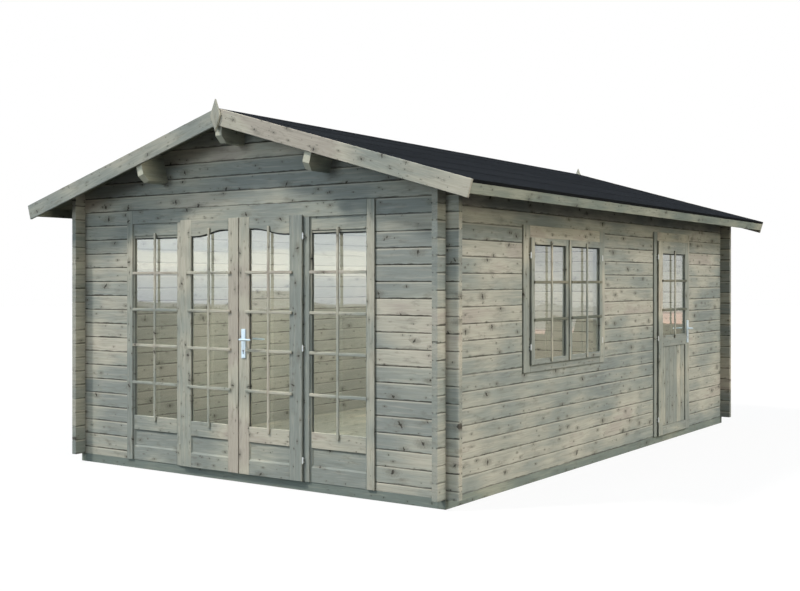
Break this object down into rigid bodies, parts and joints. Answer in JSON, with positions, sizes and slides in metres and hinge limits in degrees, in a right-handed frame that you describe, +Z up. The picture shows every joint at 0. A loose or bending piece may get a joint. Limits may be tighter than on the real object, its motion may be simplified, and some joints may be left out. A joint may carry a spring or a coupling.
{
  "type": "garden log cabin",
  "caption": "Rectangular garden log cabin with crossed log corners, low felted gable roof, glazed double doors with side lights, a casement window and a side door.",
  "frame": {"origin": "on the ground under the middle of the roof plan, between the foundation beams", "axes": "+Z up, -Y towards the front gable with the double doors, +X towards the wall with the window and the side door"},
  "size_m": [4.31, 6.0692, 2.8215],
  "materials": {
    "log": "grey-green treated softwood, planed, dark knots",
    "joinery": "grey-green treated softwood, planed",
    "beam": "dark pressure-treated timber",
    "floor_boards": "pale planed boards",
    "roof_boards": "treated boards",
    "felt": "near-black mineral roofing felt",
    "glass": "clear",
    "handle": "satin silver"
  },
  "bodies": {
    "cabin": {"foundation_front": "beam", "foundation_rear": "beam", "foundation_left": "beam", "foundation_right": "beam", "floor": "floor_boards", "front_wall_left": "log", "front_wall_right": "log", "front_gable": "log", "rear_wall": "log", "left_wall": "log", "right_wall_lower": "log", "right_wall_front": "log", "right_wall_middle": "log", "right_wall_rear": "log", "right_wall_top": "log", "ridge_purlin": "log", "purlin_left": "log", "purlin_right": "log", "roof_deck_left": "roof_boards", "roof_deck_right": "roof_boards", "roof_felt": "felt", "bargeboard_front_left": "joinery", "bargeboard_front_right": "joinery", "bargeboard_rear_left": "joinery", "bargeboard_rear_right": "joinery", "finial_front": "joinery", "finial_rear": "joinery", "eave_fascia_left": "joinery", "eave_fascia_right": "joinery", "front_frame": "joinery", "front_trim": "joinery", "side_light_left": "joinery", "side_light_right": "joinery", "side_light_left_glass": "glass", "side_light_right_glass": "glass", "window_frame": "joinery", "window_trim": "joinery", "casement_front": "joinery", "casement_rear": "joinery", "casement_front_glass": "glass", "casement_rear_glass": "glass", "side_door_frame": "joinery", "side_door_trim": "joinery"},
    "front_leaf_left": {"front_door_left": "joinery", "front_door_left_glass": "glass"},
    "front_leaf_right": {"front_door_right": "joinery", "front_door_right_glass": "glass", "front_lock": "handle"},
    "front_handle": {"front_lever": "handle"},
    "side_leaf": {"side_door": "joinery", "side_door_glass": "glass", "side_lock": "handle"},
    "side_handle": {"side_lever": "handle"}
  },
  "joints": [
    {"name": "front_door_left_hinge", "type": "hinge", "parent": "cabin", "child": "front_leaf_left", "pos_m": [-0.6125, -2.78, 0.0673], "axis": [0, 0, -1], "range_deg": [0, 160]},
    {"name": "front_door_right_hinge", "type": "hinge", "parent": "cabin", "child": "front_leaf_right", "pos_m": [0.6125, -2.78, 0.0673], "axis": [0, 0, 1], "range_deg": [0, 160]},
    {"name": "front_lever_turn", "type": "hinge", "parent": "front_leaf_right", "child": "front_handle", "pos_m": [0.0545, -2.762, 1.0673], "axis": [0, 1, 0], "range_deg": [0, 40], "stiffness_Nm_per_rad": 0.6, "springref_deg": -28.65},
    {"name": "side_door_hinge", "type": "hinge", "parent": "cabin", "child": "side_leaf", "pos_m": [1.825, 0.8865, 0.0673], "axis": [0, 0, -1], "range_deg": [0, 165]},
    {"name": "side_lever_turn", "type": "hinge", "parent": "side_leaf", "child": "side_handle", "pos_m": [1.807, 1.6205, 1.0423], "axis": [1, 0, 0], "range_deg": [0, 40], "stiffness_Nm_per_rad": 0.6, "springref_deg": -28.65}
  ]
}
